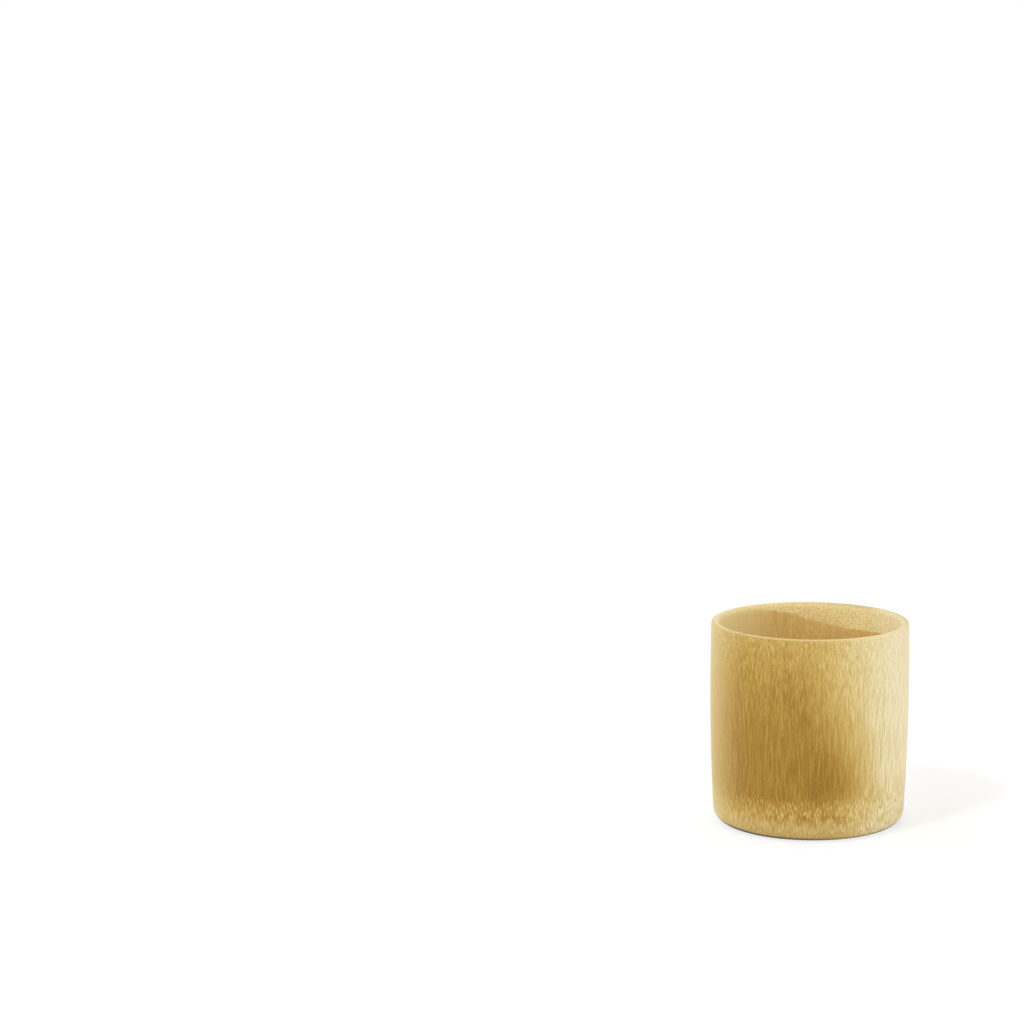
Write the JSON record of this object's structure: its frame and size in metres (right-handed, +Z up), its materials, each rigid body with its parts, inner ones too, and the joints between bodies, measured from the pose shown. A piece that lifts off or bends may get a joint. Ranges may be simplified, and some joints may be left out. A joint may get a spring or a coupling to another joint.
{
  "type": "bamboo cup",
  "caption": "Round, slightly barrelled bamboo cup turned from a joint of culm, with a slanted lip, a smooth inner skin and the node's cross-wall as its floor.",
  "frame": {"origin": "centre of the foot, on the surface that the cup stands on", "axes": "+Z up along the lathe axis, +X to the right and +Y to the back as the picture shows the cup"},
  "size_m": [0.0776, 0.0776, 0.08],
  "materials": {
    "turned_bamboo": "satin, bare turned fibres",
    "pith_skin": "smooth, slightly waxy skin",
    "septum_bamboo": "smooth, faintly ringed"
  },
  "bodies": {
    "root": {"culm_wall": "turned_bamboo", "pith_lining": "pith_skin", "node_septum": "septum_bamboo", "recess_lining": "pith_skin"}
  },
  "joints": []
}
